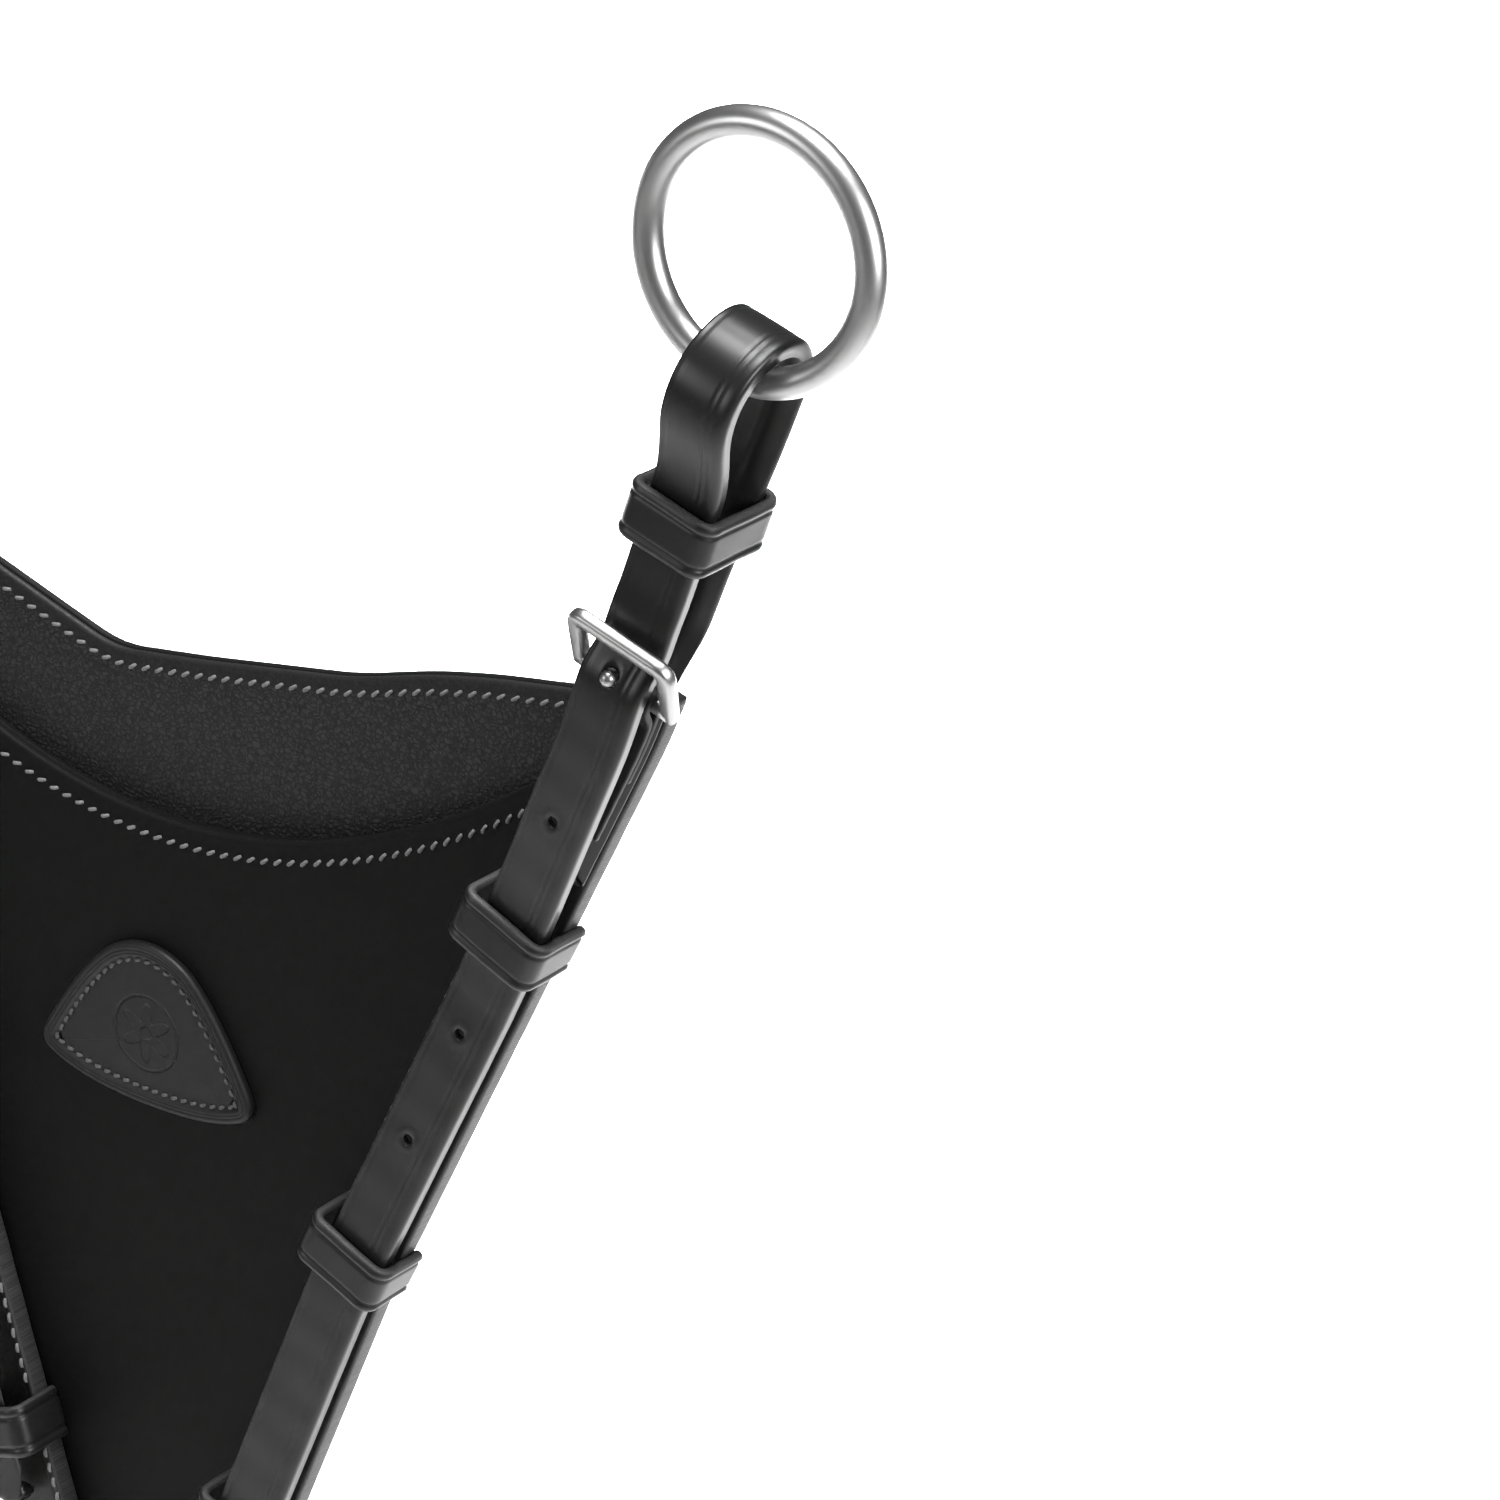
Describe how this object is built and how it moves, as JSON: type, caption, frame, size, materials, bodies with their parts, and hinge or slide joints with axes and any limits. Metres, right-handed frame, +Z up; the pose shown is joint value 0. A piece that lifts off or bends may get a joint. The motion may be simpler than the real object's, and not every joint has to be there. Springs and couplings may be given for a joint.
{
  "type": "bib martingale",
  "caption": "Leather bib martingale: a stitched bib between fork straps, with a rein ring on each fork and a bolt snap at the foot.",
  "frame": {"origin": "middle of the bolt snap's throat, where the martingale clips on", "axes": "+X towards the part's own right fork as the viewer sees the front, -Y out of the front of the bib away from the horse, +Z up towards the rein rings"},
  "size_m": [0.2926, 0.0265, 0.5042],
  "materials": {
    "bib_leather": "matte",
    "lining_leather": "grained, satin",
    "backing_leather": "matte flesh side",
    "badge_leather": "embossed, satin",
    "strap_leather": "waxed, satin",
    "thread": "waxed thread",
    "steel": "polished"
  },
  "bodies": {
    "bib_and_forks": {"bib_front_panel": "bib_leather", "bib_core": "bib_leather", "bib_lining": "lining_leather", "bib_backing": "backing_leather", "front_stitching": "thread", "lining_stitching": "thread", "badge": "badge_leather", "badge_stitching": "thread", "fork_strap_right": "strap_leather", "fork_strap_left": "strap_leather", "fork_stitching_right": "thread", "fork_stitching_left": "thread", "ring_strap_right": "strap_leather", "ring_strap_left": "strap_leather", "chape_right": "strap_leather", "chape_left": "strap_leather", "upper_keeper_right": "strap_leather", "upper_keeper_left": "strap_leather", "middle_keeper_right": "strap_leather", "middle_keeper_left": "strap_leather", "lower_keeper_right": "strap_leather", "lower_keeper_left": "strap_leather", "chest_strap": "strap_leather", "chest_stitching": "thread"},
    "buckle_frame_right": {"buckle_frame_right": "steel"},
    "buckle_tongue_right": {"buckle_tongue_right": "steel"},
    "running_keeper_right": {"running_keeper_right": "strap_leather"},
    "ring_right": {"ring_right": "steel"},
    "buckle_frame_left": {"buckle_frame_left": "steel"},
    "buckle_tongue_left": {"buckle_tongue_left": "steel"},
    "running_keeper_left": {"running_keeper_left": "strap_leather"},
    "ring_left": {"ring_left": "steel"},
    "swivel_eye": {"swivel_eye": "steel"},
    "snap_body": {"snap_body": "steel", "bolt_spring": "steel"},
    "snap_bolt": {"snap_bolt": "steel", "bolt_thumb_knob": "steel"}
  },
  "joints": [
    {"name": "ring_swing_right", "type": "hinge", "parent": "bib_and_forks", "child": "ring_right", "pos_m": [0.12115, -0.0039, 0.43838], "axis": [0.9945, 0, -0.1045], "range_deg": [-150, 150]},
    {"name": "buckle_tilt_right", "type": "hinge", "parent": "bib_and_forks", "child": "buckle_frame_right", "pos_m": [0.10432, -0.0051, 0.38227], "axis": [0.9578, 0, -0.2874], "range_deg": [-2, 10]},
    {"name": "tongue_turn_right", "type": "hinge", "parent": "bib_and_forks", "child": "buckle_tongue_right", "pos_m": [0.10432, -0.0051, 0.38227], "axis": [0.9578, 0, -0.2874], "range_deg": [-2, 2]},
    {"name": "keeper_slide_right", "type": "slide", "parent": "bib_and_forks", "child": "running_keeper_right", "axis": [0.2874, 0, 0.9578], "range_m": [-0.001, 0.001]},
    {"name": "ring_swing_left", "type": "hinge", "parent": "bib_and_forks", "child": "ring_left", "pos_m": [-0.12115, -0.0039, 0.43838], "axis": [0.9945, 0, 0.1045], "range_deg": [-150, 150]},
    {"name": "buckle_tilt_left", "type": "hinge", "parent": "bib_and_forks", "child": "buckle_frame_left", "pos_m": [-0.10432, -0.0051, 0.38227], "axis": [0.9578, 0, 0.2874], "range_deg": [-2, 10]},
    {"name": "tongue_turn_left", "type": "hinge", "parent": "bib_and_forks", "child": "buckle_tongue_left", "pos_m": [-0.10432, -0.0051, 0.38227], "axis": [0.9578, 0, 0.2874], "range_deg": [-2, 2]},
    {"name": "keeper_slide_left", "type": "slide", "parent": "bib_and_forks", "child": "running_keeper_left", "axis": [-0.2874, 0, 0.9578], "range_m": [-0.001, 0.001]},
    {"name": "eye_swing", "type": "hinge", "parent": "bib_and_forks", "child": "swivel_eye", "pos_m": [0, 0, 0.055], "axis": [1, 0, 0], "range_deg": [-45, 45]},
    {"name": "snap_swivel", "type": "hinge", "parent": "swivel_eye", "child": "snap_body", "pos_m": [0, 0, 0.035], "axis": [0, 0, 1], "continuous": true},
    {"name": "bolt_slide", "type": "slide", "parent": "snap_body", "child": "snap_bolt", "axis": [0, 0, 1], "range_m": [0, 0.013], "stiffness_N_per_m": 300, "springref_m": -0.012, "deforming": ["bolt_spring"]}
  ]
}
